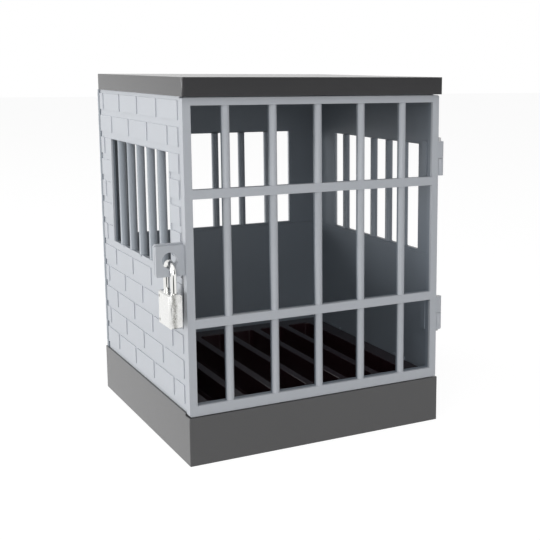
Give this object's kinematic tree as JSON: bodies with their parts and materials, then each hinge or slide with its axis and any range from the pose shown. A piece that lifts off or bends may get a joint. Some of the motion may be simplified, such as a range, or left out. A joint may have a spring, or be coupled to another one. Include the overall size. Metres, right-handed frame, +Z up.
{
  "type": "lock-up cage",
  "caption": "Small barred cage with a hinged grille door held by a key padlock; a slotted floor holds phones upright.",
  "frame": {"origin": "middle of the base's underside, where it stands", "axes": "+Z up, +Y to the back, +X to the hinge side; the door is on the -Y side"},
  "size_m": [0.1699, 0.1603, 0.1997],
  "materials": {
    "plinth": "fine moulded grain, dark grey",
    "floor": "glossy, nearly black",
    "walls": "moulded, light blue-grey",
    "door": "moulded, grey",
    "roof": "fine moulded grain, dark grey",
    "lock": "plated, lightly worn",
    "lock_inside": "machined",
    "fasteners": "plain steel"
  },
  "bodies": {
    "cage": {"base_tray": "plinth", "bottom_cover": "plinth", "slot_deck": "floor", "left_wall": "walls", "right_wall": "walls", "back_wall": "walls", "roof_cap": "roof", "ceiling_liner": "roof", "roof_screws": "fasteners", "cover_screws": "fasteners", "lower_hinge_pin": "fasteners", "upper_hinge_pin": "fasteners"},
    "door": {"door_grille": "door"},
    "shackle": {"lock_shackle": "lock"},
    "case": {"lock_case": "lock", "shackle_spring": "lock_inside", "tumbler_pins": "lock_inside", "pin_caps": "lock", "case_rivets": "lock"},
    "plug": {"lock_plug": "lock_inside"},
    "bolt": {"lock_bolt": "lock_inside"}
  },
  "joints": [
    {"name": "door_hinge", "type": "hinge", "parent": "cage", "child": "door", "pos_m": [0.0778, -0.07425, 0.11], "axis": [0, 0, 1], "range_deg": [0, 115]},
    {"name": "lock_off", "type": "slide", "parent": "cage", "child": "shackle", "axis": [-1, 0, 0], "range_m": [0, 0.1205]},
    {"name": "lock_open", "type": "slide", "parent": "shackle", "child": "case", "axis": [0, 0, -1], "range_m": [0, 0.0052]},
    {"name": "key_turn", "type": "hinge", "parent": "case", "child": "plug", "pos_m": [-0.0819, -0.07265, 0.08], "axis": [0, 0, 1], "range_deg": [0, 90.2]},
    {"name": "bolt_slide", "type": "slide", "parent": "case", "child": "bolt", "axis": [0, 1, 0], "range_m": [0, 0.00162]}
  ],
  "couplings": [
    {"joint": "lock_off", "follows": "door_hinge", "m_per_rad": 0.0598},
    {"joint": "key_turn", "follows": "lock_open", "rad_per_m": 302.08},
    {"joint": "bolt_slide", "follows": "lock_open", "ratio": 0.30769}
  ]
}
